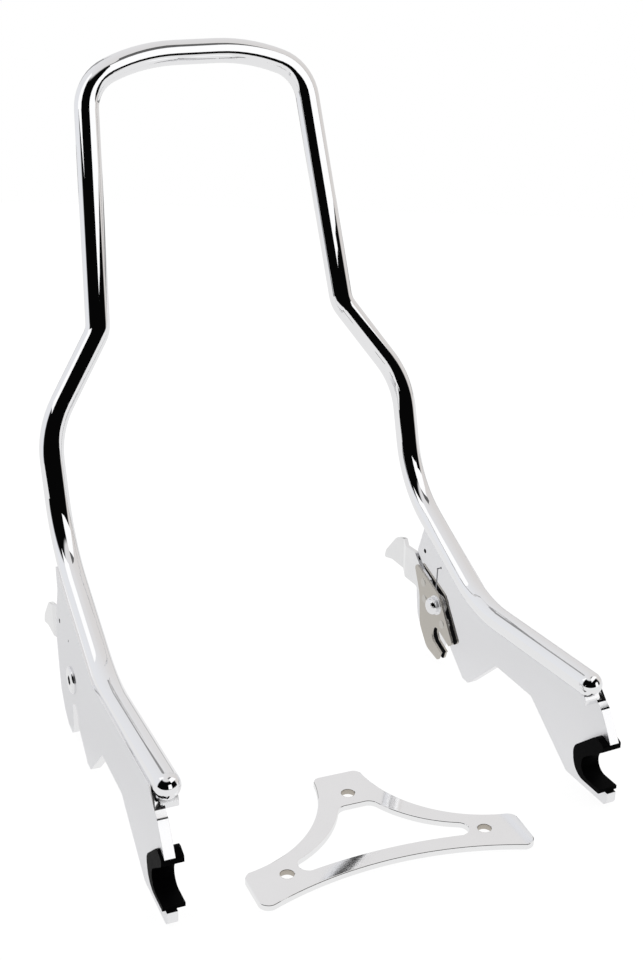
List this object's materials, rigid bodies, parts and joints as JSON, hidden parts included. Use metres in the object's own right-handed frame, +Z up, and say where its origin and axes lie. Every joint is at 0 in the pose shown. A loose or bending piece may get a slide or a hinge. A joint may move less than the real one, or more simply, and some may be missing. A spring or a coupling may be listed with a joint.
{
  "type": "sissy bar",
  "caption": "Detachable motorcycle passenger hoop of bent chrome bar on slotted side plates with spring latches, with its loose three-lobed pad plate.",
  "frame": {"origin": "midway between the centres of the two front docking seats", "axes": "+X to the rider's right seen from behind the hoop's front, +Y to the rear of the motorcycle, +Z up"},
  "size_m": [0.294, 0.3571, 0.4234],
  "materials": {
    "bar_chrome": "polished",
    "plate_chrome": "polished, slightly soft",
    "pad_plate_chrome": "polished",
    "lever_chrome": "polished",
    "fastener_chrome": "polished",
    "latch_steel": "satin plated",
    "rivet_steel": "satin plated",
    "spring_steel": "dark wire",
    "bushing_black": "smooth black nylon"
  },
  "bodies": {
    "bar": {"hoop": "bar_chrome", "pad_mounting_plate": "pad_plate_chrome", "left_side_plate": "plate_chrome", "left_dock_bushing": "bushing_black", "left_pivot_bolt": "fastener_chrome", "left_pivot_collar": "latch_steel", "left_pivot_washer": "fastener_chrome", "left_pivot_dome_nut": "fastener_chrome", "left_return_spring": "spring_steel", "right_side_plate": "plate_chrome", "right_dock_bushing": "bushing_black", "right_pivot_bolt": "fastener_chrome", "right_pivot_collar": "latch_steel", "right_pivot_washer": "fastener_chrome", "right_pivot_dome_nut": "fastener_chrome", "right_return_spring": "spring_steel"},
    "left_latch": {"left_latch_inner_sheet": "latch_steel", "left_latch_outer_sheet": "latch_steel", "left_latch_bush": "latch_steel", "left_latch_rivets": "rivet_steel", "left_thumb_lever": "lever_chrome"},
    "right_latch": {"right_latch_inner_sheet": "latch_steel", "right_latch_outer_sheet": "latch_steel", "right_latch_bush": "latch_steel", "right_latch_rivets": "rivet_steel", "right_thumb_lever": "lever_chrome"}
  },
  "joints": [
    {"name": "left_latch_hinge", "type": "hinge", "parent": "bar", "child": "left_latch", "pos_m": [-0.12943, 0.1859, 0.026], "axis": [0.9995, -0.0332, 0], "range_deg": [0, 22], "stiffness_Nm_per_rad": 0.3, "springref_deg": -34.38, "deforming": ["left_return_spring"]},
    {"name": "right_latch_hinge", "type": "hinge", "parent": "bar", "child": "right_latch", "pos_m": [0.12943, 0.1859, 0.026], "axis": [0.9995, 0.0332, 0], "range_deg": [0, 22], "stiffness_Nm_per_rad": 0.3, "springref_deg": -34.38, "deforming": ["right_return_spring"]}
  ]
}
